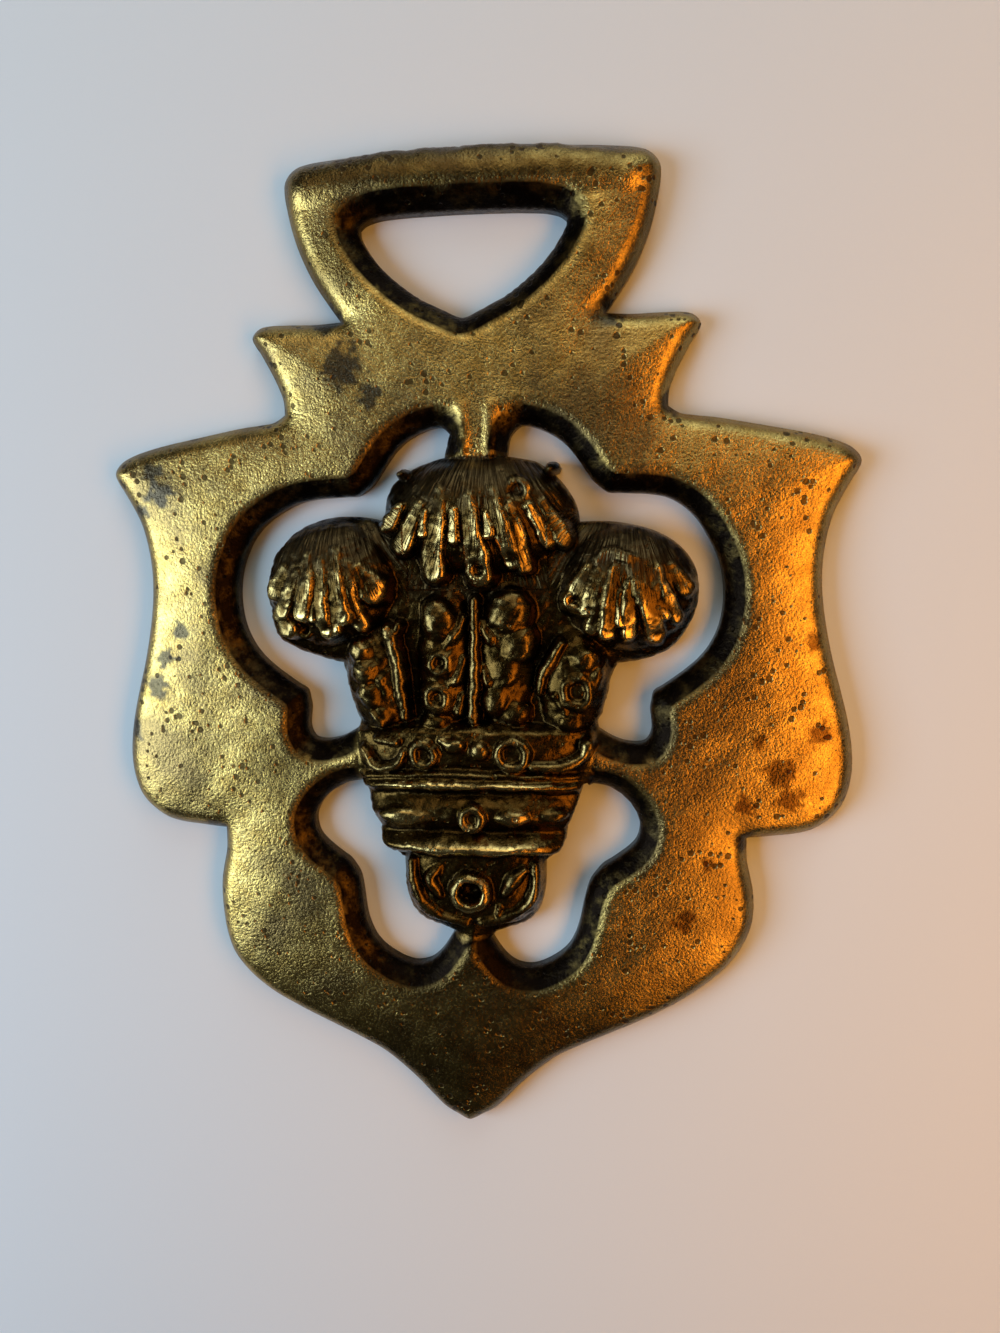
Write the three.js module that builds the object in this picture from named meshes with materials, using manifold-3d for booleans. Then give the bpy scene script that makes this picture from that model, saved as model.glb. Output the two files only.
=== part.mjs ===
// A cast horse brass: a pierced plate with a strap slot above a plume badge of three curled
// ostrich feathers that rise from a coronet. The whole is one sand casting with a flat back.
//
// Millimetres. The back lies on z = 0, +Z is the face and +Y points at the strap.
// The origin is at the middle of the overall box, on the back.

import * as THREE from "three";
import { mergeVertices } from "three/addons/utils/BufferGeometryUtils.js";
import Module from "manifold-3d";

// ---------------------------------------------------------------- driving sizes

const PLATE = 2.9; // thickness of the plate at its face
const WALL = 1.3; // height of the square part of every edge
const ROLL = 1.5; // width of the rounded edge above it
const ROLL_STEPS = 2;
const TIGHTEST = 0.3; // least share of an edge's length that is left at the inside of the roll
const SAG = 0.1; // most that a chord may leave its curve
const FULLNESS = 2.8; // how square-shouldered the domes are; 2 is an ellipse

const PLUME_CENTRE = 0.6; // the badge sits a little right of the plate's middle
const HEAD_TOP = 6.4; // height of a plume's curl above the back
const STEM_TOP = 4.3;
const CORONET_TOP = 5.9;
const BOSS_TOP = 5.4;

const BRASS = new THREE.MeshStandardMaterial({ color: 0xa07c34, roughness: 0.38, metalness: 1 });

// ---------------------------------------------------------------- outlines

// Each outline is a chain of smooth stretches, given for the right half and
// measured out from the middle; a stretch ends where the edge has a corner.

const OUTER_HALF = [
  // strap bar and shoulder, down to the notch over the tier
  [[0, 44.65], [6.85, 44.6], [12.3, 44.3], [15, 43.8], [16, 42.7], [15.9, 40.5], [15.1, 37.3],
    [13.7, 34.25], [11.5, 31]],
  // tier
  [[11.5, 31], [13.9, 30.85], [16.85, 30.9], [18.8, 30.7], [19.55, 29.85], [18.9, 28.65],
    [17.75, 26.5], [16.95, 24.45], [16.9, 23.2]],
  // ear, waist and hip
  [[16.9, 23.2], [17.85, 22.6], [20.6, 22.2], [25.5, 21.3], [29.9, 20.35], [32.35, 19.35], [33.1, 18.3],
    [32.45, 16.9], [30.95, 13.95], [30.2, 10.05], [30.35, 6.15], [31.35, 1.15], [32.75, -3.95], [33.3, -8.45],
    [32.45, -11.9], [30, -14.05], [26.95, -14.65], [24.35, -14.95]],
  // lobe and tail, down to the point
  [[24.35, -14.95], [24.4, -17], [25, -19.85], [25, -23.25], [23.6, -27.2], [19.5, -31.1],
    [13.25, -34.45], [8.3, -37], [4.9, -39.95], [2.35, -42.6], [0, -43.85]],
];

const SLOT_CENTRE = -0.5;
const SLOT_TOP = 39.75;
const SLOT_FLAT = 3; // half the straight length of the bar's underside
const SLOT_HALF = [
  [[SLOT_FLAT, SLOT_TOP], [7.6, 39.45], [9, 38.75], [8.6, 37.5], [6.9, 35.2], [3.6, 32.6],
    [0, 31]],
];

// The upper piercing follows the frame on its outer side ...
const UPPER_FRAME = [
  [[2.75, 21.2], [3.5, 21.85], [5.3, 21.5], [7.4, 20.2], [8.9, 18.3], [9.9, 16.9], [11.2, 16]],
  [[11.2, 16], [13.2, 15.9], [16.4, 15.5], [19.4, 13.6], [21.3, 10.6], [22, 7.5], [21.6, 4.1],
    [20.2, 1.6], [17.6, -0.6], [16, -1.7]],
  [[16, -1.7], [15.7, -3.2], [15.85, -5.1], [15.3, -6.2], [13.7, -6.3], [12.4, -5.9],
    [11.1, -5.1]],
];

// ... and the badge on its inner side: a stem, a side plume and the middle plume.
const BADGE_RIGHT = [
  [[10.85, -4.25], [11.4, -2.25], [12, -0.1], [12.5, 1]],
  [[12.5, 1], [14.7, 1.35], [17.25, 2.45], [18.8, 4.55], [19.5, 6.9], [19.1, 9.65], [17.5, 11.6],
    [14.9, 12.9], [11.7, 13.5], [9.15, 13.5]],
  [[9.15, 13.5], [8.85, 14.95], [7.5, 17.05], [5.6, 18.6], [2.75, 19.2]],
];
const BADGE_LEFT = [
  [[10.95, -4.65], [11.5, -2.75], [12, -0.7], [12.5, 1]],
  [[12.5, 1], [14.5, 1.5], [16.85, 2.35], [18.4, 3.35], [19, 4.9], [19.05, 6]],
  [[19.05, 6], [19.4, 7.3], [18.9, 8.75], [17.75, 9.95]],
  [[17.75, 9.95], [17.45, 11.5], [15.95, 13.1], [13.1, 14.1], [10.15, 14.1], [8.2, 13.7]],
  [[8.2, 13.7], [8.1, 15.35], [7.2, 17.15], [5.3, 18.4], [2.75, 19.2]],
];

const LOWER_FRAME = [
  [[10.4, -10], [12.3, -10.4], [14.2, -11.8], [15.2, -13.7], [14.9, -15.5], [13.5, -16.9],
    [12, -18]],
  [[12, -18], [11, -19.4], [10.5, -21.5], [10.1, -23.8], [9.2, -25.9], [7.6, -27.3],
    [5.6, -28.1], [3.9, -27.7], [2.7, -26.5], [1.85, -25.1]],
];

// Half-widths of the coronet and the pendant boss under it, from the rim down.
const CORONET_SIDE = [[10.25, -9.75], [9.75, -11.25], [9.25, -12.7], [8.65, -14.1]];
const CORONET_LIP = [[8.65, -14.1], [8.5, -15.2], [7.7, -16.55], [6.65, -17.35]];
const BOSS_SIDE = [[6.65, -17.35], [6.6, -18.9], [6.55, -20.3], [6.1, -21.9], [5, -23.25],
  [3.35, -23.95], [1.9, -24.55]];

const { smoothstep } = THREE.MathUtils;

// The pattern was cut by eye: its tail swings left and its upper piercings lean right.
const tailLean = (y) => 0.2 - 1.3 * smoothstep(-y, 22, 32);
const frameLean = (y) => 0.15 + 0.75 * smoothstep(y, 12, 17) - 0.35 * smoothstep(-y, 8, 14)
  - 0.45 * smoothstep(-y, 15, 24);
const badgeLean = (y) => -0.2 + PLUME_CENTRE * smoothstep(y, -9, -3);
const slotLean = () => SLOT_CENTRE;

// Points along a smooth curve, close enough that no chord leaves it by more than SAG.
function trace(stretch) {
  const at = (p) => new THREE.Vector3(p[0], p[1], 0);
  const curve = new THREE.CatmullRomCurve3(stretch.map(at));
  const points = [];
  const split = (t0, t1, p0, p1, depth) => {
    const t = (t0 + t1) / 2;
    const p = curve.getPoint(t);
    const off = new THREE.Line3(p0, p1).closestPointToPoint(p, true, new THREE.Vector3()).distanceTo(p);
    if (depth > 4 || (depth > 0 && off < SAG)) {
      points.push(p1);
      return;
    }
    split(t0, t, p0, p, depth + 1);
    split(t, t1, p, p1, depth + 1);
  };
  stretch.slice(1).forEach((_, i) => {
    const [t0, t1] = [i, i + 1].map((n) => n / (stretch.length - 1));
    split(t0, t1, curve.getPoint(t0), curve.getPoint(t1), 0);
  });
  return [at(stretch[0]), ...points].map((p) => [p.x, p.y]);
}

// A chain of stretches on one side, leaned and joined without doubled corners.
function chain(stretches, side, lean) {
  const points = stretches.flatMap((s) => (s.length > 2 ? trace(s) : s));
  return points
    .map(([x, y]) => new THREE.Vector2(side * x + lean(y), y))
    .filter((p, i, all) => i === 0 || p.distanceTo(all[i - 1]) > 0.05);
}

// A closed outline without points that all but coincide.
function closed(points, closest = 0.1) {
  return points.filter((p, i) => p.distanceTo(points[(i + 1) % points.length]) > closest);
}

// A closed outline from its right half.
function mirrored(half, lean) {
  return closed([...chain(half, 1, lean), ...chain(half, -1, lean).reverse()]);
}

// A piercing between the frame and the badge, on one side.
function piercing(frame, badge, side) {
  return closed([...chain(frame, side, frameLean), ...chain(badge, side, badgeLean)], 0.3);
}

// ---------------------------------------------------------------- plate

const EASINGS = 60; // times the roll is eased back round an outline
const EASING = 0.95;
const LONGEST_SPAN = 4; // corners apart that two points are kept from crossing

// How far each point of an outline can roll inwards, less where a tip is too tight for it.
function rollReach(points, inward) {
  const count = points.length;
  const reach = points.map(() => ROLL);
  const ease = (i, j) => {
    const chord = points[j].clone().sub(points[i]);
    const rolled = chord.clone()
      .addScaledVector(inward[j], reach[j])
      .addScaledVector(inward[i], -reach[i]);
    if (rolled.dot(chord) > TIGHTEST * chord.lengthSq()) return;
    reach[i] *= EASING;
    reach[j] *= EASING;
  };
  for (let pass = 0; pass < EASINGS; pass++) {
    for (let i = 0; i < count; i++) {
      for (let span = 1; span <= LONGEST_SPAN; span++) ease(i, (i + span) % count);
    }
  }
  return reach;
}

// Unit vectors into the material at each point of an outline that has the material on its left.
function inwardNormals(points) {
  return points.map((p, i) => {
    const before = points[(i - 1 + points.length) % points.length];
    const after = points[(i + 1) % points.length];
    const a = p.clone().sub(before).normalize();
    const b = after.clone().sub(p).normalize();
    const along = a.add(b).normalize();
    return new THREE.Vector2(-along.y, along.x);
  });
}

// The pierced plate: square edges up to WALL, a quarter-round roll, and a flat face.
function castPlate(outline, holes) {
  const wound = (points, clockwise) =>
    THREE.ShapeUtils.isClockWise(points) === clockwise ? points : [...points].reverse();
  const loops = [wound(outline, false), ...holes.map((hole) => wound(hole, true))];
  const levels = [[0, 0]];
  for (let step = 0; step <= ROLL_STEPS; step++) {
    const angle = (step / ROLL_STEPS) * (Math.PI / 2);
    levels.push([WALL + (PLATE - WALL) * Math.sin(angle), 1 - Math.cos(angle)]);
  }

  const positions = [];
  const triangles = [];
  const addLoop = (points, z) => {
    const first = positions.length / 3;
    points.forEach((p) => positions.push(p.x, p.y, z));
    return first;
  };
  const rings = loops.map((points) => {
    const inward = inwardNormals(points);
    const reach = rollReach(points, inward);
    return levels.map(([z, share]) => {
      const moved = points.map((p, i) => p.clone().addScaledVector(inward[i], share * reach[i]));
      return { points: moved, first: addLoop(moved, z) };
    });
  });

  for (const ring of rings) {
    const count = ring[0].points.length;
    for (let level = 0; level + 1 < ring.length; level++) {
      for (let i = 0; i < count; i++) {
        const j = (i + 1) % count;
        const [a, b] = [ring[level].first + i, ring[level].first + j];
        const [c, d] = [ring[level + 1].first + i, ring[level + 1].first + j];
        triangles.push(a, b, d, a, d, c);
      }
    }
  }

  const cap = (level, flip) => {
    const [contour, ...inner] = rings.map((ring) => ring[level].points);
    const numbers = rings.flatMap((ring) => ring[level].points.map((_, i) => ring[level].first + i));
    for (const [a, b, c] of THREE.ShapeUtils.triangulateShape(contour, inner)) {
      const face = flip ? [a, c, b] : [a, b, c];
      triangles.push(...face.map((n) => numbers[n]));
    }
  };
  cap(0, true);
  cap(levels.length - 1, false);

  const geometry = new THREE.BufferGeometry();
  geometry.setAttribute("position", new THREE.Float32BufferAttribute(positions, 3));
  geometry.setIndex(triangles);
  return geometry;
}

// ---------------------------------------------------------------- relief forms

// Height of a full-bodied dome of unit height at a share of the way out from its middle.
const bulge = (out) => Math.sqrt(Math.max(0, 1 - out ** FULLNESS));

// A low dome on the plate, with its widest section level with the back.
function dome(x, y, halfWidth, halfLength, top, turn = 0, sides = 8, rings = 6) {
  const form = new THREE.SphereGeometry(1, sides, rings).rotateX(Math.PI / 2);
  const place = form.attributes.position;
  for (let i = 0; i < place.count; i++) {
    const out = Math.hypot(place.getX(i), place.getY(i));
    place.setZ(i, Math.sign(place.getZ(i)) * bulge(out));
  }
  return form.scale(halfWidth, halfLength, top).rotateZ(turn).translate(x, y, 0);
}

// A rounded roll that follows a bent line of [x, y, z] points: a feather's barb, a quill or a bead.
function roll(points, radius, sides = 6, rings = 6) {
  const path = new THREE.CatmullRomCurve3(points.map((p) => new THREE.Vector3(...p)));
  const form = new THREE.SphereGeometry(1, sides, rings);
  const place = form.attributes.position;
  for (let i = 0; i < place.count; i++) {
    const t = (1 - place.getY(i)) / 2;
    const girth = Math.hypot(place.getX(i), place.getZ(i));
    // squarer ends than an ellipsoid has, so that the roll keeps its width
    const full = girth < 1e-6 ? 0 : Math.pow(girth, 0.55) / girth;
    const along = path.getTangent(t);
    const across = new THREE.Vector3(-along.y, along.x, 0).normalize();
    const up = new THREE.Vector3().crossVectors(along, across);
    const p = path.getPoint(t)
      .addScaledVector(across, place.getX(i) * full * radius)
      .addScaledVector(up, place.getZ(i) * full * radius);
    place.setXYZ(i, p.x, p.y, p.z);
  }
  return form;
}

// A raised ring.
function ring(x, y, z, radius, thickness) {
  return new THREE.TorusGeometry(radius, thickness, 6, 12).translate(x, y, z);
}

// A turned form lying on its side along Y, flattened to the height of the relief.
function turned(profile, top, bow) {
  const widest = Math.max(...profile.map(([width]) => width));
  const points = profile.map(([width, y]) => new THREE.Vector2(width, y));
  const form = new THREE.LatheGeometry(points.reverse(), 24).scale(1, 1, top / widest);
  const place = form.attributes.position;
  for (let i = 0; i < place.count; i++) {
    const x = place.getX(i);
    place.setY(i, place.getY(i) + bow * ((x / widest) ** 2 - 0.5));
  }
  return form;
}

// One plume's curl: a dome with its barbs hanging over the front.
function plumeHead({ x, y, halfWidth, halfLength, barbs }) {
  const curl = HEAD_TOP - 0.9;
  const lie = (px, py) => {
    const out = Math.min(0.93, Math.hypot((px - x) / halfWidth, (py - y) / halfLength));
    return curl * bulge(out);
  };
  const pieces = [dome(x, y, halfWidth, halfLength, curl, 0, 18, 9)];
  for (const [x0, y0, x1, y1, radius] of barbs) {
    const middle = [(x0 + x1) / 2, (y0 + y1) / 2];
    const path = [[x0, y0], middle, [x1, y1]].map(([px, py]) => [px, py, lie(px, py) - 0.2 * radius]);
    pieces.push(roll(path, radius, 7, 6));
  }
  return pieces;
}

const VANE_LENGTH = 1.25; // a vane's length as a share of its width

// A feather's stem: a low ridge with a quill down its middle and leafy vanes beside it.
function plumeStem({ x, y, halfWidth, halfLength, turn, vanes, quill }) {
  const pieces = [
    dome(x, y, halfWidth, halfLength, STEM_TOP - 0.3, turn, 12, 8),
    roll(quill.map(([px, py]) => [px, py, PLATE + 0.7]), 0.8, 6, 7),
  ];
  vanes.forEach(([px, py, size, lean]) => {
    pieces.push(dome(px, py, size, size * VANE_LENGTH, STEM_TOP + 0.5, lean));
  });
  return pieces;
}

// Each barb is [x, y, x, y, radius] from its root on the curl to its hanging tip.
const HEADS = [
  {
    x: PLUME_CENTRE + 0.3, y: 13.9, halfWidth: 8.3, halfLength: 5.2,
    barbs: [[-6.2, 14.8, -6.9, 12.8, 1.15], [-4.9, 15, -5.8, 10.9, 1.2], [-2.5, 15.6, -2.9, 8.6, 1.35],
      [0.4, 15.2, 0.6, 8, 1.5], [2.7, 15, 4, 9.5, 1.2], [4.7, 14.6, 5.2, 9.1, 1.1],
      [6.3, 15, 7.8, 11.2, 1.25]],
  },
  {
    x: PLUME_CENTRE - 13.1, y: 8.1, halfWidth: 6, halfLength: 5.6,
    barbs: [[-15.3, 9.2, -17, 5.6, 1.05], [-14, 10.6, -14.7, 5.2, 1.15], [-12.7, 10.2, -12.5, 3.8, 1.15],
      [-11.3, 10.3, -10.8, 4.9, 1.1], [-9.9, 9, -9.6, 4.5, 0.95], [-14.9, 4.6, -15.1, 3, 1.15],
      [-17.4, 8.4, -17.7, 6.8, 1], [-8.7, 8.4, -8.4, 6.7, 1.3]],
  },
  {
    x: PLUME_CENTRE + 13, y: 7.6, halfWidth: 5.9, halfLength: 5.5,
    barbs: [[9.4, 8.5, 9.2, 6, 1.4], [11, 9.5, 10.5, 4.6, 0.95], [12.6, 9, 12, 3.7, 1.1],
      [14, 8.6, 14, 3.4, 1.05], [15, 9.8, 16.1, 3.5, 1.3], [16.7, 9.3, 17.6, 5.2, 1],
      [18.2, 8.9, 18.2, 6.7, 1]],
  },
];

// Each vane is [x, y, half-width, lean in radians].
const STEMS = [
  {
    x: 0.3, y: 1.4, halfWidth: 4.9, halfLength: 7.2, turn: 0,
    quill: [[0.4, 7.6], [0.3, 1.5], [0.1, -4.2]],
    vanes: [[-2.7, 5.2, 2.3, 0.3], [-2.9, 1.4, 2.4, 0.4], [-2.9, -2.2, 2.4, 0.2], [3.5, 5.6, 2.4, -0.4],
      [4, 2.3, 2.3, -0.6], [3.1, -0.9, 2.3, -0.4], [2.9, -3.6, 2.1, -0.3]],
  },
  {
    x: -8.4, y: -0.8, halfWidth: 3.1, halfLength: 5.3, turn: 0.12,
    quill: [[-7, 3.9], [-6.4, 0], [-6.2, -3.8]],
    vanes: [[-9.7, 2.2, 2.1, 0.6], [-9.3, -0.5, 2.2, 0.5], [-8.6, -3.3, 2, 0.4]],
  },
  {
    x: 9.1, y: -0.8, halfWidth: 3.1, halfLength: 5.3, turn: -0.12,
    quill: [[8, 3.2], [6.9, -0.6], [6.3, -3.8]],
    vanes: [[9.5, -1.4, 2.6, -0.3], [10, 1.7, 2.2, -0.6], [9, -4, 2, -0.4]],
  },
];

// Mouldings of the coronet as [half-width, y], down from the rim, then the boss.
const CORONET_PROFILE = [[0, -4.2], [8.6, -4.4], [9.5, -5.6], [9.7, -7.6], [8.9, -8.3], [9.7, -8.7],
  [9.7, -9.9], [8.8, -10.4], [8.5, -11], [8.9, -11.7], [8.7, -12.9], [7.8, -13.5], [7.7, -14.1],
  [8.2, -14.6], [7.9, -15.6], [6.4, -16.3], [0, -16.5]];
const BOSS_PROFILE = [[0, -16], [6.1, -16.4], [6.25, -18], [6.1, -19.6], [5.6, -21], [4.5, -22.3],
  [2.6, -23.1], [0, -23.3]];
const JEWELS = [-6.9, -4.1, 0, 4.4, 6.6];
const JEWEL_ROW = -12.4;
const FLEURONS = [[-8, 1.8, -0.5], [-4.2, 1.6, 0], [-0.4, 1.5, 0], [3.6, 1.9, 0], [8.9, 1.6, 0.5]];
const FLEURON_ROW = -6.4;

// Height of the coronet's swelling front at a distance from its middle.
const swell = (x, top, halfWidth) => top * Math.sqrt(Math.max(0, 1 - (x / halfWidth) ** 2));

function coronet() {
  const pieces = [turned(CORONET_PROFILE, CORONET_TOP - 0.5, 0.6)];
  for (const x of JEWELS) {
    const size = x === 0 ? 1.35 : 1.1;
    pieces.push(dome(x, JEWEL_ROW, size, size, swell(x, CORONET_TOP + 0.3, 10.6)));
  }
  for (const [x, size, turn] of FLEURONS) {
    pieces.push(dome(x, FLEURON_ROW, size, size * 1.15, Math.max(4, swell(x, CORONET_TOP + 0.2, 11)), turn));
  }
  return pieces;
}

const EYE = { x: -0.25, y: -19.4, radius: 1.35, thickness: 0.5 };

function boss() {
  const leaf = (side) =>
    roll([[side * 2.6, -20.6, BOSS_TOP - 1.4], [side * 3.4, -19.2, BOSS_TOP - 1.3],
      [side * 4.2, -17.8, BOSS_TOP - 1.9]], 0.9);
  return [
    turned(BOSS_PROFILE, BOSS_TOP - 0.6, 0),
    ring(EYE.x, EYE.y, BOSS_TOP - EYE.thickness, EYE.radius, EYE.thickness),
    leaf(-1),
    leaf(1),
  ];
}

// The strap bar swells above the plate, because the strap's wear rounds it.
const strapBar = () => [roll([[-13.2, 42, 1.2], [-0.3, 42.5, 1.4], [13, 42, 1.2]], 2, 10, 10)];

// Two small nibs of metal left at the edge of the middle plume.
const flashNibs = () => [[7.2, 18.1], [-5.9, 17.7]].map(([x, y]) => dome(x, y, 0.75, 0.6, 2.2));

// ---------------------------------------------------------------- casting

const wasm = await Module();
wasm.setup();

// A closed three.js form as a solid that can be joined and cut.
function solid(geometry) {
  const bare = geometry.clone();
  bare.deleteAttribute("normal");
  bare.deleteAttribute("uv");
  const merged = mergeVertices(bare, 1e-4);
  const index = [];
  for (let i = 0; i < merged.index.count; i += 3) {
    const face = [0, 1, 2].map((k) => merged.index.getX(i + k));
    if (new Set(face).size === 3) index.push(...face);
  }
  return new wasm.Manifold(new wasm.Mesh({
    numProp: 3,
    vertProperties: merged.attributes.position.array,
    triVerts: new Uint32Array(index),
  }));
}

function geometryOf(body) {
  const mesh = body.getMesh();
  const geometry = new THREE.BufferGeometry();
  geometry.setAttribute("position", new THREE.Float32BufferAttribute(mesh.vertProperties, mesh.numProp));
  geometry.setIndex(new THREE.Uint32BufferAttribute(mesh.triVerts, 1));
  geometry.computeVertexNormals();
  return geometry;
}

function casting() {
  const lower = [...[CORONET_SIDE, CORONET_LIP, BOSS_SIDE].map((s) => [...s].reverse())].reverse();
  const holes = [
    mirrored(SLOT_HALF, slotLean),
    piercing(UPPER_FRAME, BADGE_RIGHT, 1),
    piercing(UPPER_FRAME, BADGE_LEFT, -1),
    piercing(LOWER_FRAME, lower, 1),
    piercing(LOWER_FRAME, lower, -1),
  ];
  const plate = solid(castPlate(mirrored(OUTER_HALF, tailLean), holes));
  const forms = [
    ...HEADS.flatMap(plumeHead),
    ...STEMS.flatMap(plumeStem),
    ...coronet(),
    ...boss(),
    ...strapBar(),
    ...flashNibs(),
  ];
  const relief = forms.map(solid).reduce((all, form) => all.add(form));
  const below = solid(new THREE.BoxGeometry(100, 100, 20).translate(0, 0, -10));
  return plate.add(relief).subtract(below);
}

// The outline is a little lopsided, so the casting is centred by its overall box.
function centred(geometry) {
  geometry.computeBoundingBox();
  const middle = geometry.boundingBox.getCenter(new THREE.Vector3());
  return geometry.translate(-middle.x, -middle.y, 0);
}

const brass = new THREE.Mesh(centred(geometryOf(casting())), BRASS);
brass.name = "horse_brass";

const group = new THREE.Group();
group.name = "horse_brass_badge";
group.add(brass);

export default group;
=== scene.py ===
"""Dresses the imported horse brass: the one casting is remade with its fine carving, worn face and
dark recesses, on the back outline of the frame's solid and within its height.

Sizes in this script are millimetres and become metres only where a mesh, light or camera is made.
"""

import math

import bpy
import numpy as np
from mathutils import Matrix, Vector
from mathutils.geometry import delaunay_2d_cdt
from mathutils.kdtree import KDTree


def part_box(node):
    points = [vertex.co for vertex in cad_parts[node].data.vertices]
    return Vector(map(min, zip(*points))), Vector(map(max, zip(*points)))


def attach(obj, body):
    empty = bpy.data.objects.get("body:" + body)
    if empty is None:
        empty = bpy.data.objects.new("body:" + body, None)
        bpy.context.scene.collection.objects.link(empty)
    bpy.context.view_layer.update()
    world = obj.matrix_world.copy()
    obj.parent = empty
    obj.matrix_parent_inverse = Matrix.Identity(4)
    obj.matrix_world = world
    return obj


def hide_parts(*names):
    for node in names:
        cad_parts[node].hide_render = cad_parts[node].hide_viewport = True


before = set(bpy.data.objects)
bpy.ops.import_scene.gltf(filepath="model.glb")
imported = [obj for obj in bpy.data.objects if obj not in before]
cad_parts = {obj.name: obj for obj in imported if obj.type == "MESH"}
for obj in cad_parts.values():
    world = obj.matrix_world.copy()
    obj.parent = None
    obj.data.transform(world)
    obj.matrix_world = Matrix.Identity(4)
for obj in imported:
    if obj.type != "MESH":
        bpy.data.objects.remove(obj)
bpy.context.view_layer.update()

MM = 0.001
NODE = "horse_brass"

LOW, HIGH = (np.array(corner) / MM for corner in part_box(NODE))
TOP = HIGH[2]
PATTERN = (LOW + HIGH)[:2] / 2 + np.array([-0.2, -0.4])  # where the badge's own zero lies

# The plate, as in the solid
PLATE = 2.9  # thickness at its face
WALL = 1.3  # height of the square part of every edge
ROLL = 1.5  # width of the rounded outer edge above it

# Heights over the back
HEAD_TOP = TOP - 0.15
CURL_TOP = HEAD_TOP - 0.6  # the barbs stand this much over the curl itself
BOSS_TOP = 5.4
BOSS_BODY = 4.3
RECESS = 2.9  # floor between the stems, which is cut deeper here than in the solid


# ------------------------------------------------------------------ small helpers

def smoothstep(low, high, value):
    """0 below low, 1 above high and smooth between."""
    share = np.clip((value - low) / (high - low), 0, 1)
    return share * share * (3 - 2 * share)


def smooth_max(a, b, blend=0.2):
    """The higher of two surfaces, with the small fillet that sand leaves where they meet."""
    meeting = np.clip(1 - np.abs(a - b) / blend, 0, 1)
    return np.maximum(a, b) + meeting ** 2 * blend / 4


def smooth_min(a, b, blend=0.2):
    """The lower of two surfaces, softly."""
    return -smooth_max(-a, -b, blend)


def ripple(points, size, seed, octaves=3):
    """Smooth random ripples of unit height, with crests about a size apart."""
    rng = np.random.default_rng(seed)
    total = np.zeros(len(points))
    for octave in range(octaves):
        for _ in range(7):
            angle = rng.uniform(0, 2 * math.pi)
            pitch = size / 2 ** octave * rng.uniform(0.7, 1.4)
            wave = points @ np.array([math.cos(angle), math.sin(angle)]) * 2 * math.pi / pitch
            total += np.sin(wave + rng.uniform(0, 2 * math.pi)) / 7 / 1.6 ** octave
    return total


# ------------------------------------------------------------------ the back's outlines

def back_loops(node):
    """The closed outlines of the solid's flat back in mm, outer one first, material on their left."""
    mesh = node.data
    corners = np.empty(len(mesh.vertices) * 3)
    mesh.vertices.foreach_get("co", corners)
    corners = corners.reshape(-1, 3) / MM
    keys = [tuple(p) for p in np.round(corners, 3)]
    edges = set()
    for face in mesh.polygons:
        ring = [keys[i] for i in face.vertices]
        if max(p[2] for p in ring) > LOW[2] + 0.01:
            continue
        edges.update(zip(ring, ring[1:] + ring[:1]))
    following = {}
    for a, b in edges:
        if a != b and (b, a) not in edges:
            following[b] = a  # the back faces down, so its edges run the other way round
    loops = []
    while following:
        start = next(iter(following))
        loop, at = [], start
        while at in following:
            loop.append(at[:2])
            at = following.pop(at)
        if len(loop) > 8:
            loops.append(np.array(loop))
    return sorted(loops, key=lambda loop: -np.ptp(loop[:, 1]))


def refined(loop, spacing, corner_angle=math.radians(52)):
    """A loop drawn through its points as a smooth line that keeps its sharp corners."""
    before, after = np.roll(loop, 1, 0), np.roll(loop, -1, 0)
    arriving, leaving = loop - before, after - loop
    turn = np.abs(np.angle(np.exp(1j * (np.arctan2(leaving[:, 1], leaving[:, 0])
                                        - np.arctan2(arriving[:, 1], arriving[:, 0])))))
    sharp = turn > corner_angle
    reach_in = np.linalg.norm(arriving, axis=1)[:, None]
    reach_out = np.linalg.norm(leaving, axis=1)[:, None]
    slope = (arriving / reach_in * reach_out + leaving / reach_out * reach_in) / (reach_in + reach_out)
    slope /= np.linalg.norm(slope, axis=1)[:, None]
    drawn = []
    for i in range(len(loop)):
        j = (i + 1) % len(loop)
        span = loop[j] - loop[i]
        length = np.linalg.norm(span)
        start = span if sharp[i] else slope[i] * length
        end = span if sharp[j] else slope[j] * length
        steps = max(1, round(length / spacing))
        t = (np.arange(steps) / steps)[:, None]
        drawn.append((2 * t ** 3 - 3 * t ** 2 + 1) * loop[i] + (t ** 3 - 2 * t ** 2 + t) * start
                     + (3 * t ** 2 - 2 * t ** 3) * loop[j] + (t ** 3 - t ** 2) * end)
    return np.concatenate(drawn)


class Distance:
    """Distance in the plane from points to a set of loops."""

    def __init__(self, loops):
        dense = np.concatenate([refined(loop, 0.08) for loop in loops])
        self.tree = KDTree(len(dense))
        for i, p in enumerate(dense):
            self.tree.insert((p[0], p[1], 0), i)
        self.tree.balance()

    def __call__(self, points):
        return np.array([self.tree.find((x, y, 0))[2] for x, y in points])


def inside(points, loops):
    """Which points lie in the material, by counting crossings."""
    odd = np.zeros(len(points), bool)
    x, y = points[:, 0], points[:, 1]
    for loop in loops:
        for (x0, y0), (x1, y1) in zip(loop, np.roll(loop, -1, 0)):
            if y0 == y1:
                continue
            crosses = (y0 > y) != (y1 > y)
            odd ^= crosses & (x < (x1 - x0) * (y - y0) / (y1 - y0) + x0)
    return odd


# ------------------------------------------------------------------ relief forms

# Every form gives heights over the back at points in mm from the badge's zero. It falls away
# steeply outside itself, so at each point the highest form shows.

DROP = 4.0  # slope of that fall
FULLNESS = 2.8  # how square-shouldered the domes are, as in the solid


def lay(height, p, form, middle, reach, blend=0.3):
    """Joins a form to the surface, within reach of the form's middle."""
    near = np.hypot(p[:, 0] - middle[0], p[:, 1] - middle[1]) < reach
    height[near] = smooth_max(height[near], form(p[near]), blend)


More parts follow.
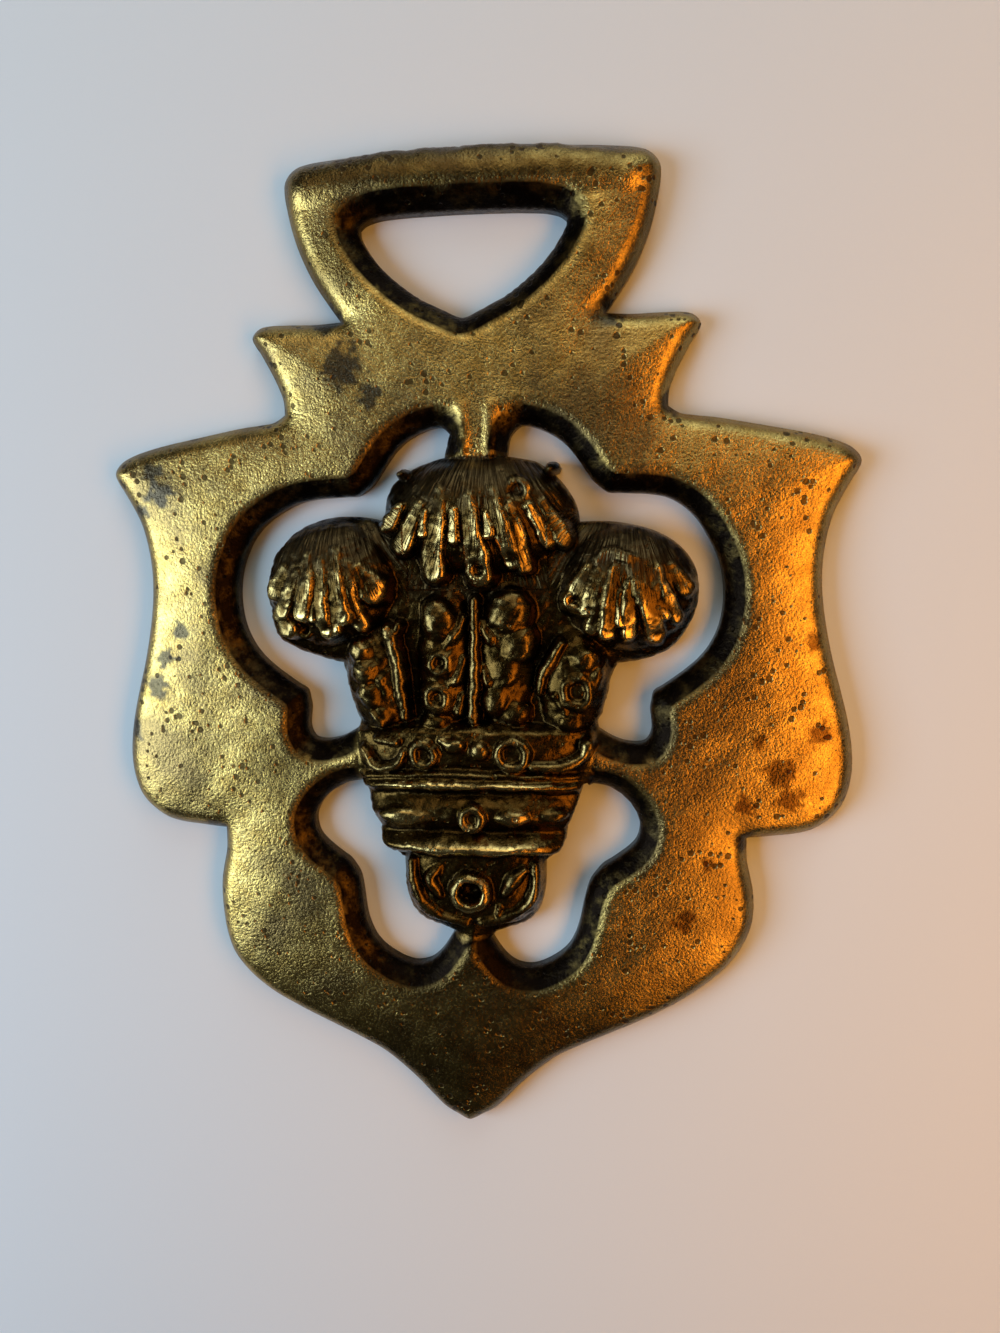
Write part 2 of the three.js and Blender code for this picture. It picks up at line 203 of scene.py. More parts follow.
def bulge(out):
    """Height of a full-bodied dome of unit height at a share of the way out."""
    return np.sqrt(np.clip(1 - np.clip(out, 0, 1) ** FULLNESS, 0, 1))


def dome_share(p, x, y, half_width, half_length, turn=0.0):
    """How far out from a dome's middle each point lies, 1 at its foot."""
    c, s = math.cos(turn), math.sin(turn)
    dx, dy = p[:, 0] - x, p[:, 1] - y
    return np.hypot((dx * c + dy * s) / half_width, (dy * c - dx * s) / half_length)


def add_dome(height, p, x, y, half_width, half_length, top, turn=0.0, foot=0.0, blend=0.4):
    """A dome that rises from foot to top."""
    def form(near):
        out = dome_share(near, x, y, half_width, half_length, turn)
        return foot + (top - foot) * bulge(out) - DROP * np.clip(out - 1, 0, None)
    lay(height, p, form, (x, y), 1.3 * max(half_width, half_length), blend)


def rounded(out):
    """How far a round section has fallen at a share of the way out, 1 at its foot."""
    return 1 - np.sqrt(np.clip(1 - np.clip(out, 0, 1) ** 2, 0, 1))


def shouldered(out):
    """The same for a section with a broad, flat top."""
    return 1 - np.sqrt(np.clip(1 - np.clip(out, 0, 1) ** 4, 0, 1))


def add_strand(height, p, path, depth=1.1, section=rounded, lean=0.0, blend=0.45):
    """A strand through [x, y, crest height, radius] points, whose top climbs to +X by its lean."""
    path = np.array(path, float)
    line = smooth_line(path, 5)

    def form(near):
        best = np.full(len(near), 1e9)
        crest, girth, aside = np.zeros(len(near)), np.ones(len(near)), np.zeros(len(near))
        for a, b in zip(line, line[1:]):
            run = b[:2] - a[:2]
            share = np.clip((near - a[:2]) @ run / (run @ run), 0, 1)
            off = np.linalg.norm(near - a[:2] - share[:, None] * run, axis=1)
            closer = off < best
            best = np.where(closer, off, best)
            crest = np.where(closer, a[2] + share * (b[2] - a[2]), crest)
            girth = np.where(closer, a[3] + share * (b[3] - a[3]), girth)
            aside = np.where(closer, near[:, 0] - a[0] - share * run[0], aside)
        out = best / girth
        top = crest + lean * np.clip(aside, -girth, girth)
        return top - depth * girth * section(out) - DROP * np.clip(out - 1, 0, None)
    middle = (line[0, :2] + line[-1, :2]) / 2
    reach = np.linalg.norm(line[:, :2] - middle, axis=1).max() + 1.4 * path[:, 3].max()
    lay(height, p, form, middle, reach, blend)


def smooth_line(path, steps):
    """Points along a smooth line through a path's points."""
    ends = np.concatenate([[2 * path[0] - path[1]], path, [2 * path[-1] - path[-2]]])
    drawn = []
    for a, b, c, d in zip(ends, ends[1:], ends[2:], ends[3:]):
        for t in np.arange(steps) / steps:
            bend, twist = 2 * a - 5 * b + 4 * c - d, 3 * b - 3 * c + d - a
            drawn.append(b + t / 2 * (c - a + t * (bend + t * twist)))
    return np.array([*drawn, path[-1]])


def add_ring(height, p, x, y, radius, thickness, top, stretch=1.0):
    """A raised ring, with its hollow cut into what it stands on."""
    def form(near):
        out = np.abs(np.hypot(near[:, 0] - x, (near[:, 1] - y) / stretch) - radius) / thickness
        return top - thickness * rounded(out) - DROP * np.clip(out - 1, 0, None)
    hole = np.hypot(p[:, 0] - x, (p[:, 1] - y) / stretch) < radius
    height[hole] = np.minimum(height[hole], top - 1.2 * thickness)
    lay(height, p, form, (x, y), (radius + 2 * thickness) * max(1, stretch), 0.2)


# A plume's curl is a dome; each barb combed over it is a strand of [x, y, half-width] from its
# root to its hanging tip. The barbs lean away from the curl's parting, given as an x.
HEADS = [
    dict(x=0.9, y=13.9, half_width=8.3, half_length=5.2, parting=3.6, barbs=[
        [(-5.9, 14.9, 0.5), (-6.9, 13.4, 0.8)],
        [(-4.0, 15, 0.5), (-4.9, 13.4, 0.75), (-5.8, 11.6, 0.95)],
        [(-2.3, 16.2, 0.5), (-2.5, 13.2, 0.85), (-3.1, 11, 1.1), (-3, 9.4, 1.1)],
        [(-3.5, 14.4, 0.25), (-3.8, 12.6, 0.35)],
        [(-1.1, 14.4, 0.35), (-1, 12.1, 0.45)],
        [(0.2, 15.6, 0.6), (0.4, 12.8, 0.9), (0.8, 10.8, 1.15), (0.9, 9.1, 1.3)],
        [(1.7, 14.2, 0.3), (2, 12.4, 0.4)],
        [(2.2, 16.2, 0.5), (2.8, 13.9, 0.75), (3.4, 11.8, 0.8), (3.7, 10.2, 0.7)],
        [(3.8, 14.8, 0.4), (4.5, 12.4, 0.65), (4.9, 9.8, 0.8)],
        [(5.4, 14.8, 0.4), (6.4, 13, 0.55), (7.1, 11.8, 0.6)],
        [(6.6, 15, 0.45), (7.6, 13.3, 0.65), (8.3, 12, 0.75)],
    ]),
    dict(x=-12.5, y=8.1, half_width=6.0, half_length=5.6, parting=-10.7, barbs=[
        [(-16.2, 9.6, 0.6), (-17, 7.8, 1.0)],
        [(-15, 9.4, 0.45), (-15.7, 7.6, 0.65), (-16.5, 6, 0.7)],
        [(-13.9, 10.8, 0.5), (-14.1, 8.2, 0.8), (-14.6, 5.9, 0.85)],
        [(-13.4, 9, 0.25), (-13.6, 5.4, 0.35)],
        [(-12.7, 10.4, 0.45), (-12.7, 7.6, 0.7), (-12.9, 5.6, 0.75), (-12.5, 4.3, 0.7)],
        [(-11.5, 11, 0.6), (-11.4, 8.4, 0.8), (-10.9, 5.6, 0.85)],
        [(-10.4, 10.2, 0.5), (-10.2, 7.6, 0.7), (-9.5, 4.8, 0.75)],
        [(-11.9, 6.2, 0.4), (-11.8, 4.4, 0.65)],
        [(-16.8, 5.7, 0.7), (-16.2, 4.4, 0.9)],
        [(-9.4, 9.6, 0.6), (-8.3, 7.9, 1.35)],
    ]),
    dict(x=13.6, y=7.6, half_width=5.9, half_length=5.5, parting=11.5, barbs=[
        [(10.2, 9.4, 0.5), (9.6, 8.2, 0.8), (9.1, 6.7, 1.1)],
        [(11, 9.4, 0.35), (10.4, 7.6, 0.5), (9.9, 6, 0.5)],
        [(11.5, 8.8, 0.4), (11.1, 6.8, 0.6), (10.6, 4.5, 0.65)],
        [(12.5, 9.4, 0.5), (12.2, 6.8, 0.7), (11.9, 4.2, 0.75)],
        [(13.1, 7.6, 0.25), (13.1, 5, 0.35)],
        [(13.8, 8.4, 0.4), (13.8, 6, 0.55), (13.8, 4, 0.6)],
        [(14.2, 10, 0.8), (15, 7.6, 0.95), (15.7, 5.6, 0.9), (16.1, 3.9, 0.85)],
        [(16.2, 9.4, 0.4), (17, 7.2, 0.55), (17.8, 5.4, 0.6)],
        [(15.9, 8.1, 0.3), (16.9, 5.6, 0.4)],
        [(17.4, 9.6, 0.5), (18.5, 7.8, 0.85)],
        [(11.2, 10.2, 0.45), (12.3, 10.8, 0.6), (13.6, 10.5, 0.45)],
    ]),
]
# Small rings on the curls, as [x, y, radius].
HEAD_NUBS = [(0.9, 9.4, 0.7), (4.4, 16.2, 0.8), (-14.7, 4.2, 0.6), (9.1, 6.8, 0.6)]
SPREAD = 1.07  # the curls run on to the very edge of the casting
BARB_SEAT = 0.45  # the curl is sunk this much under its barbs
ROOT_PROUD = 0.15  # a barb's root stands this much over the curl ...
TIP_PROUD = 0.4  # ... and its tip this much more
BARB_LEAN = 0.34  # steepest slope across a barb's flat top


def add_head(height, p, head):
    """A curl and the barbs combed down over it."""
    x, y, half_width, half_length = (head[k] for k in ("x", "y", "half_width", "half_length"))

    def crown(near):
        out = dome_share(near, x, y, half_width, half_length)
        sunk = BARB_SEAT * smoothstep(0.32, -0.2, (near[:, 1] - y) / half_length)
        beyond = DROP * np.clip(out - SPREAD, 0, None) * half_length
        return (CURL_TOP - sunk) * bulge(out / SPREAD) - beyond
    lay(height, p, crown, (x, y), 1.35 * half_width, 0.3)
    for barb in head["barbs"]:
        path = []
        for i, (bx, by, half) in enumerate(barb):
            out = math.hypot((bx - x) / half_width, (by - y) / half_length)
            over = CURL_TOP * math.sqrt(1 - min(out / SPREAD, 0.97) ** FULLNESS)
            proud = ROOT_PROUD + TIP_PROUD * i / (len(barb) - 1)
            path.append((bx, by, min(TOP, max(over + proud, 4.8)), half))
        lean = BARB_LEAN * np.clip((head["parting"] - barb[1][0]) / 1.2, -1, 1)
        add_strand(height, p, path, depth=0.55, section=shouldered, lean=lean, blend=0.15)


# Each stem is a low ridge, a quill, vanes that overlap down both sides, and curled tongues
# between them. Domes are [x, y, half-width, half-length, top, lean], strands [x, y, crest, radius].
STEM_RIDGES = [(-2.3, 1.4, 3.1, 8.2, 4.4, 0.0), (2.9, 1.4, 3.2, 8.2, 4.4, 0.0),
               (-8.4, -0.4, 3.4, 6.2, 4.4, 0.14), (9.0, -0.6, 3.5, 6.2, 4.4, -0.12)]
VANES = [
    (-2.7, 5.1, 1.3, 1.7, 5.0, 0.25), (-2.6, 1.3, 1.4, 1.5, 4.8, 0.1), (-2.9, -1.8, 1.4, 1.6, 4.8, 0.1),
    (-3.2, -4, 1.2, 0.8, 4.4, 0.0), (3.5, 5.6, 1.6, 1.8, 5.0, -0.6), (4.3, 2.8, 1.2, 1.7, 4.9, -0.5),
    (3.1, 0.6, 1.3, 1.6, 4.7, -0.5), (2.3, -1.9, 1.1, 1.5, 4.7, -0.3), (3.9, -3.2, 1.2, 1.1, 4.4, -0.4),
    (-9.7, 2.4, 1.0, 1.1, 4.7, 0.4), (-9.4, 0.5, 1.1, 1.2, 4.9, 0.3), (-9, -1.5, 1.0, 1.2, 4.8, 0.3),
    (-8, -3.4, 0.9, 1.1, 4.5, 0.3), (9.9, 1.6, 1.2, 1.1, 4.7, -0.3), (9.4, -1.3, 1.5, 1.7, 4.7, -0.1),
    (8.8, -3.9, 1.3, 0.9, 4.4, 0.0), (11, 0.1, 0.6, 1.3, 4.4, -0.2),
]
QUILLS = [
    [(0.5, 6.8, 4.5, 0.45), (0.45, 2, 4.75, 0.5), (0.2, -3.8, 4.65, 0.5)],
    [(-7.4, 4.3, 4.7, 0.5), (-6.7, 2.6, 4.8, 0.55), (-6.2, -1.2, 4.7, 0.5), (-5.9, -3.6, 4.5, 0.45)],
    [(8, 3, 4.7, 0.5), (7.2, 1.6, 4.7, 0.55), (6.4, 0.2, 4.6, 0.5), (6.1, -1.2, 4.4, 0.4)],
]
TONGUES = [
    [(-0.6, 5.4, 4.3, 0.3), (-1.3, 3.7, 4.8, 0.5), (-2, 2.9, 4.5, 0.4)],
    [(-0.6, 1.7, 4.3, 0.3), (-1.1, 0, 4.7, 0.45), (-1.7, -0.5, 4.4, 0.4)],
    [(-0.6, -1.5, 4.3, 0.3), (-1.1, -3, 4.7, 0.45)],
    [(1.1, 5, 4.2, 0.3), (1.7, 3.7, 4.6, 0.42), (2.3, 2.8, 4.3, 0.3)],
    [(1.1, 1, 4.3, 0.3), (1.6, -0.3, 4.6, 0.42)],
    [(-7, 3.4, 4.2, 0.3), (-6.3, 4.5, 4.6, 0.45)],
    [(-7.4, -1.4, 4.3, 0.3), (-8, -0.2, 4.6, 0.4)],
    [(-8.9, -3, 4.6, 0.28), (-7.9, -4.2, 4.6, 0.34)],
    [(7.4, -1.5, 4.4, 0.35), (8.3, -3, 4.4, 0.35)],
]
STEM_RINGS = [(-2.6, 1.3, 0.75, 0.36, 4.75, 1.1), (-2.9, -1.7, 0.85, 0.36, 4.7, 1.0),
              (9.4, -1.2, 1.1, 0.38, 4.65, 1.2)]

# Height of the coronet's front down its middle: rim of fleurons, a thin ridge, a bright one,
# the jewelled band and the lip.
CORONET_FRONT = np.array([
    (-16.6, 2.8), (-16.3, 3.9), (-16.0, 5.0), (-15.6, 5.6), (-15.2, 5.6), (-14.6, 4.9), (-14.0, 4.1),
    (-13.4, 4.7), (-12.9, 5.1), (-12.4, 5.25), (-11.6, 5.1), (-11, 4.7), (-10.5, 4.3), (-10.1, 4.8),
    (-9.8, 5.75), (-9.4, 5.75), (-9.15, 5.0), (-9, 5.0), (-8.8, 5.35), (-8.6, 5.2), (-8.35, 4.5),
    (-7.9, 4.8), (-6.5, 4.9), (-4.9, 4.7), (-4.3, 3.6), (-4.0, 2.5)])
CORONET_SIDE = np.array([(-16.6, 7.4), (-15.2, 8.9), (-13.8, 9), (-11, 9.9), (-9, 10.7), (-4.2, 11.2)])
JEWELS = [(-5.7, -12.4, 2.9, 0.95, 5.75), (0.1, -12.5, 1.4, 1.3, 5.9), (3.6, -12.4, 1.7, 0.9, 5.7),
          (7.2, -12.3, 1.5, 0.8, 5.55)]
FLEURONS = [(-7.9, -6.6, 1.9, 1.2, 4.6), (-4.2, -6.7, 1.6, 1.5, 5.3), (-1.4, -5.9, 1.2, 0.8, 5.5),
            (0.8, -6.3, 1.1, 1, 5.5), (3.7, -6.7, 1.9, 1.6, 5.4), (7.7, -6.2, 1.6, 1.1, 4.9)]
FLEURON_LINES = [
    [(-9.7, -6.5, 4.6, 0.4), (-8.5, -7.8, 5.2, 0.42), (-6.8, -7.7, 5.4, 0.42), (-6, -6.6, 5.3, 0.36)],
    [(-8.4, -5.5, 5.0, 0.32), (-6.6, -5.7, 5.3, 0.36)],
    [(-2.6, -5.4, 5.3, 0.3), (-0.8, -5.8, 5.6, 0.36)],
    [(5.5, -7.7, 5.3, 0.36), (8, -7.8, 5.1, 0.45), (9.8, -6.9, 4.8, 0.45), (10.3, -5.9, 4.9, 0.55)],
]
CORONET_RINGS = [(-4.2, -6.7, 0.95, 0.4, 5.5), (3.7, -6.7, 1.25, 0.42, 5.55), (0.1, -12.5, 0.9, 0.4, 5.85)]


def coronet_fall(x):
    """Share of its height that a form on the round coronet keeps at x."""
    return math.sqrt(1 - (abs(x) / 13) ** 2.4)


def add_coronet(height, p):
    """The coronet's banded front, with its fleurons and jewels."""
    row = (p[:, 1] < -3.5) & (p[:, 1] > -17.2) & (np.abs(p[:, 0]) < 10.6)
    near = p[row]
    share = np.abs(near[:, 0]) / np.interp(near[:, 1], *CORONET_SIDE.T)
    y = near[:, 1] + 0.45 * (share ** 2 - 0.4) * smoothstep(-17, -12, near[:, 1])
    front = sum(np.interp(y + shift, *CORONET_FRONT.T) for shift in (-0.12, 0, 0.12)) / 3
    swell = 0.42 + 0.58 * np.sqrt(np.clip(1 - np.clip(share, 0, 1) ** FULLNESS, 0, 1))
    form = front * swell - DROP * 4 * np.clip(share - 1, 0, None)
    height[row] = smooth_max(height[row], form, 0.2)
    for x, y, half_width, half_length, top in JEWELS + FLEURONS:
        top *= coronet_fall(x)
        add_dome(height, p, x, y, half_width, half_length, top, foot=top - 1.3)
    for x, y, radius, thickness, top in CORONET_RINGS:
        add_ring(height, p, x, y, radius, thickness, top * coronet_fall(x))
    for line in FLEURON_LINES:
        add_strand(height, p, line)


EYE = dict(x=-0.25, y=-19.4, radius=1.25, thickness=0.62)
BOSS_SIDE = np.array([(-23.6, 2), (-23, 4.4), (-21.9, 6), (-20.8, 6.6), (-16, 7)])
BOSS_LINES = [
    [(-5.6, -16.9, 4.4, 0.4), (-5.4, -19.1, 4.7, 0.5), (-4.4, -20.8, 4.8, 0.5), (-2.6, -22, 4.7, 0.5),
     (-0.7, -22.5, 4.6, 0.5)],
    [(5.6, -16.9, 4.6, 0.4), (5.5, -19.2, 4.8, 0.45), (4.6, -21, 4.7, 0.5), (2.6, -22.1, 4.6, 0.5),
     (0.7, -22.5, 4.6, 0.5)],
    [(-3.1, -17.2, 4.6, 0.4), (-3.9, -18.3, 5.0, 0.6), (-3.2, -19.8, 4.7, 0.5)],
    [(4.7, -17.4, 4.8, 0.35), (3.6, -18.4, 5.1, 0.6), (2.9, -19.4, 4.8, 0.5)],
    [(2.4, -20.9, 4.8, 0.25), (2.2, -21.6, 4.7, 0.25)],
    [(0.3, -20.8, 4.3, 0.35), (0.4, -20.4, 4.2, 0.35)],
]


def add_boss(height, p):
    """The pendant boss: a rounded tongue with a raised rim and a ringed eye."""
    row = (p[:, 1] < -15.9) & (p[:, 1] > -23.6) & (np.abs(p[:, 0]) < 7)
    near = p[row]
    share = np.abs(near[:, 0]) / np.interp(near[:, 1], *BOSS_SIDE.T)
    below = np.clip((-20.5 - near[:, 1]) / 2.9, 0, 1)
    body = np.sqrt(np.clip(1 - np.clip(share, 0, 1) ** 5, 0, 1) * np.clip(1 - below ** 5, 0, 1))
    height[row] = smooth_max(height[row], BOSS_BODY * body - DROP * 4 * np.clip(share - 1, 0, None), 0.2)
    add_ring(height, p, EYE["x"], EYE["y"], EYE["radius"], EYE["thickness"], BOSS_TOP + 0.1)
    hole = np.hypot(p[:, 0] - EYE["x"], p[:, 1] - EYE["y"])
    height[:] = np.where(hole < 1.1, np.minimum(height, 3.9 + 1.1 * hole ** 3), height)
    for line in BOSS_LINES:
        add_strand(height, p, line)


# The strap bar's swelling, the ribs on the bridge over the middle plume, and drops of flash left
# at the badge's edge.
BAR = [(-13.4, 41.7, 3.0, 2.0), (-6, 42.4, 3.3, 2.2), (6, 42.4, 3.3, 2.2), (13.2, 41.7, 3.0, 2.0)]
BRIDGE_RIBS = [[(-0.6, 23.5, 2.9, 0.6), (-0.5, 19.6, 3.2, 0.6)],
               [(2, 23.5, 2.9, 0.6), (1.9, 19.6, 3.1, 0.6)]]
FLASH = [(7.2, 18.1, 0.8, 0.65, 4.2), (-5.9, 17.7, 0.6, 0.5, 4.0), (-7.2, -15.9, 0.7, 0.5, 3.6)]

HOLE_ROLL = 2.2  # the face rounds over this wide into the piercings
ROUND = 2.0  # exponent of the outer edge's section, which is a quarter ellipse
LIP = 1.5  # exponent at the piercings, where the roll starts more crisply
CUSHION = 0.6  # the frame's face falls this much towards its outer edge ...
CUSHION_WIDTH = 6.5  # ... over this width
EDGE_ROUND = 2.3  # the relief rounds over to the edge of the casting within this

# The badge's half-width down its length, as [y, half-width].
BADGE_WIDTH = np.array([
    (-24.6, 1.9), (-23.9, 3.4), (-23.2, 5), (-21.9, 6.1), (-20.3, 6.6), (-17.4, 6.7), (-16.5, 7.7),
    (-15.2, 8.5), (-12.7, 9.3), (-9.7, 10.3), (-4.3, 10.9), (1, 12.5), (1.5, 14.7), (2.5, 17.2),
    (4.6, 18.9), (7, 19.5), (9.7, 19.2), (11.6, 17.6), (13, 15), (13.6, 10), (15, 8.9), (17, 7.5),
    (18.6, 5.6), (19.3, 2.7)])


def badge_share(p):
    """1 on the badge, 0 on the frame and its bridges."""
    half = np.interp(p[:, 1], BADGE_WIDTH[:, 0], BADGE_WIDTH[:, 1], left=-3, right=-3)
    middle = -0.2 + 0.6 * smoothstep(-9, -3, p[:, 1])
    return smoothstep(-0.6, 0.5, half - np.abs(p[:, 0] - middle))


def surface(points, to_edge, to_outer):
    """Height of the whole face at points in mm, given their distances to the nearest edge of any
    kind and to the outer edge."""
    p = points - PATTERN
    badge = badge_share(p)
    outer = to_outer < to_edge + 0.01
    share = np.clip(to_edge / np.where(outer, ROLL, HOLE_ROLL), 0, 1)
    roundness = np.where(outer, ROUND, LIP)
    height = WALL + (PLATE - WALL) * np.clip(1 - (1 - share) ** roundness, 0, 1) ** (1 / roundness)
    height -= CUSHION * np.clip(1 - to_outer / CUSHION_WIDTH, 0, 1) ** 2
    height -= (PLATE - RECESS) * smoothstep(0.6, 2.2, to_edge) * badge
    undulation = 0.05 * ripple(p, 9, 3) + 0.008 * ripple(p, 3.5, 4)
    height += undulation * smoothstep(0.3, 2, to_edge) * (1 - badge)
    # the pattern was cut by hand, so no form is quite true
    p = p + np.stack([0.16 * ripple(p, 4, 7) + 0.06 * ripple(p, 1.4, 8),
                      0.16 * ripple(p, 4, 9) + 0.06 * ripple(p, 1.4, 10)], 1)
    for ridge in STEM_RIDGES:
        add_dome(height, p, *ridge)
    for vane in VANES:
        x, y, half_width, half_length, top, lean = vane
        add_dome(height, p, x, y, 1.3 * half_width, 1.25 * half_length, top, lean, foot=top - 1.8)
    for x, y, radius, thickness, top, stretch in STEM_RINGS:
        add_ring(height, p, x, y, radius, thickness, top, stretch)
    for line in QUILLS + TONGUES:
        add_strand(height, p, line)
    add_coronet(height, p)
    add_boss(height, p)
    for head in HEADS:
        add_head(height, p, head)
    for x, y, radius in HEAD_NUBS:
        add_ring(height, p, x, y, radius, 0.34, min(TOP, sample(height, p, x, y) + 0.12))
    for line in [BAR] + BRIDGE_RIBS:
        add_strand(height, p, line, depth=0.8)
    for x, y, half_width, half_length, top in FLASH:
        add_dome(height, p, x, y, half_width, half_length, top)
    rough_cast = 0.045 + 0.035 * smoothstep(-6.5, -4, p[:, 1]) * smoothstep(9, 6, p[:, 1])
    height += badge * rough_cast * ripple(p, 1.4, 5)
    round_edge = WALL + (TOP - WALL) * np.sqrt(1 - (1 - np.clip(to_edge / EDGE_ROUND, 0, 1)) ** 2)
    return np.clip(smooth_min(height, round_edge, 0.3), WALL * 0.9, TOP)


def sample(height, p, x, y):
    """Height at the point nearest to x, y."""
    return height[np.argmin((p[:, 0] - x) ** 2 + (p[:, 1] - y) ** 2)]


# ------------------------------------------------------------------ the casting's mesh

EDGE_SPACING = 0.34  # between points along the outlines
EDGE_RINGS = (0.1, 0.28, 0.52, 0.82, 1.15, 1.5)  # rows of points inside each outline
FACE_GRID = 0.33  # between points on the frame
RELIEF_GRID = 0.17  # between points on the badge
BACK_GRID = 2.0  # between points on the back
ON_BADGE = 0.02  # least badge share that takes the fine grid


def grid(step, low, high, seed):
    """A staggered grid of points over a box, a little uneven so that it shows no rows."""
    rng = np.random.default_rng(seed)
    xs = np.arange(low[0], high[0], step)
    ys = np.arange(low[1], high[1], step * 0.87)
    x, y = np.meshgrid(xs, ys)
    x = x + (np.arange(len(ys)) % 2)[:, None] * step / 2
    points = np.stack([x.ravel(), y.ravel()], 1)
    return points + rng.uniform(-0.08, 0.08, points.shape) * step


def triangulated(points, loop_lengths):
    """Points and faces of a triangulation that keeps the loops, which come first, as edges."""
    edges = []
    first = 0
    for length in loop_lengths:
        edges += [(first + i, first + (i + 1) % length) for i in range(length)]
        first += length
    made = delaunay_2d_cdt([Vector(p) for p in points.tolist()], edges, [], 0, 1e-7)
    return np.array([tuple(v) for v in made[0]]), np.array(made[2])


def casting_mesh(loops):
    """The casting's face and its heights, its flat back, and the length of each rim."""
    rims = [refined(loop, EDGE_SPACING) for loop in loops]
    rim = np.concatenate(rims)
    lengths = [len(r) for r in rims]
    to_any = Distance(loops)

    low, high = LOW[:2], HIGH[:2]
    fine = grid(RELIEF_GRID, low, high, 11)
    fine = fine[badge_share(fine - PATTERN) > ON_BADGE]
    coarse = grid(FACE_GRID, low, high, 12)
    coarse = coarse[badge_share(coarse - PATTERN) <= ON_BADGE]
    body = np.concatenate([fine, coarse])
    body = body[inside(body, loops)]
    distance = to_any(body)
    on_badge = badge_share(body - PATTERN) > ON_BADGE
    body = body[distance > np.where(on_badge, 0.12, EDGE_RINGS[-1] + 0.2)]

    ringed = []
    for r in rims:
        along = np.roll(r, -1, 0) - np.roll(r, 1, 0)
        normal = np.stack([-along[:, 1], along[:, 0]], 1) / np.linalg.norm(along, axis=1)[:, None]
        for ring in EDGE_RINGS:
            moved = r + normal * ring
            keep = (to_any(moved) > 0.93 * ring) & (badge_share(moved - PATTERN) <= ON_BADGE)
            ringed.append(moved[keep])
    points = np.concatenate([rim, *ringed, body])
    flat, faces = triangulated(points, lengths)
    centre = flat[faces].mean(1)
    faces = faces[inside(centre, rims)]

    height = surface(flat, to_any(flat), Distance(loops[:1])(flat))

    back_grid = grid(BACK_GRID, low, high, 13)
    back_grid = back_grid[inside(back_grid, loops)]
    back_grid = back_grid[to_any(back_grid) > 0.6]
    back_flat, back_faces = triangulated(np.concatenate([rim, back_grid]), lengths)
    back_faces = back_faces[inside(back_flat[back_faces].mean(1), rims)]
    return flat, faces, height, back_flat, back_faces, lengths


def spread(values, faces, rounds):
    """Values averaged with their neighbours' a number of times."""
    edges = np.concatenate([faces[:, [0, 1]], faces[:, [1, 2]], faces[:, [2, 0]]])
    number = 1 + sum(np.bincount(edges[:, side], minlength=len(values)) for side in (0, 1))
    for _ in range(rounds):
        total = values + np.bincount(edges[:, 0], values[edges[:, 1]], len(values))
        values = (total + np.bincount(edges[:, 1], values[edges[:, 0]], len(values))) / number
    return values


# Painted highlights on the ridges of the coronet and the boss, laid on as bright worn brass, as [x, y,
# half-width, half-length, share].
RIDGE_HIGHLIGHTS = [(-3.8, -9.6, 4, 0.7, 1), (3.6, -9.5, 3, 0.6, 0.8), (-5, -12.2, 3, 0.9, 0.8),
          (5.3, -12.3, 2.5, 0.8, 0.6), (-3.2, -15.3, 3.4, 0.9, 1), (3.2, -15.3, 3.4, 0.9, 1),
          (-0.2, -19.6, 2.2, 2.2, 0.5), (5.2, -19, 1.2, 3, 0.6), (9.3, -6.4, 1.6, 1.2, 0.8)]


def handled(p):
    """How much the cloth has reached each point of the badge: most on the barbs, least on the
    tops of the curls. On the ridges of the coronet and the boss it also carries painted highlights."""
    share = np.where(p[:, 1] < -4.5, 0.22, 0.5)
    # these patches paint highlights on the ridges
    for x, y, half_width, half_length, most in RIDGE_HIGHLIGHTS:
        out = np.hypot((p[:, 0] - x) / half_width, (p[:, 1] - y) / half_length)
        share = np.maximum(share, most * smoothstep(1.3, 0.5, out))
    for head in HEADS:
        out = dome_share(p, head["x"], head["y"], head["half_width"], head["half_length"])
        down = (head["y"] - p[:, 1]) / head["half_length"]
        share = np.where(out < 1.15, smoothstep(-0.7, 0.0, down + 0.25 * ripple(p, 2.2, 23)), share)
    return share


def combing(p):
    """Runs of the fine lines combed over the curls, which fan out from above each one, as
    vectors: across the lines in mm and, drawn out, along them."""
    lines = np.zeros((len(p), 3))
    for head in HEADS:
        dx, dy = p[:, 0] - head["x"], p[:, 1] - head["y"] - 1.9 * head["half_length"]
        on = np.abs(dx) < 1.15 * head["half_width"]
        on &= np.abs(p[:, 1] - head["y"]) < 1.2 * head["half_length"]
        fan = np.stack([12 * np.arctan2(dx, -dy), 0.12 * np.hypot(dx, dy), np.zeros(len(p))], 1)
        lines[on] = fan[on]
    return lines


# Blotches of tarnish on the frame, as [x, y, radius].
GREY_STAINS = [(-28, 16.4, 1.3), (-28.7, 18.5, 0.9), (-30, 15, 0.7), (-27, 4, 0.9), (-28.5, 1.5, 0.9),
               (-29.5, -1.2, 1.1), (-32, -5.3, 0.9), (-11, 27, 1.8), (-8.5, 24.5, 1.0), (-12.2, 31, 1.3),
               (12.2, 31, 1.3), (-17.4, 23.6, 1.0), (17.4, 23.4, 1.1), (-24.6, -14.6, 1.0),
               (24.2, -14.8, 1.1)]
RED_STAINS = [(24, -11.5, 1.0), (27, -8.5, 1.3), (30.3, -5, 1.1), (28, -11, 1.2), (19, -22.5, 1.0),
              (25, -5.5, 0.7), (29.5, 3, 0.8), (21, -17, 0.6)]

# Broad tarnish on the strap loop's arm and inside the hip, as [x, y, radius, share].
DULL_PATCHES = [(-12, 35.5, 3.6, 0.6), (12.4, 34.5, 3, 0.25), (-18.6, -8.3, 3.2, 0.5)]


def patched(p, spots, soft, hard, ragged=0.0):
    """Share of [x, y, radius] spots that covers each point, from soft out of them to hard inside."""
    shares = []
    for x, y, radius in spots:
        out = np.hypot(p[:, 0] - x, p[:, 1] - y) / radius
        shares.append(smoothstep(soft, hard, out + ragged))
    return np.maximum.reduce(shares)


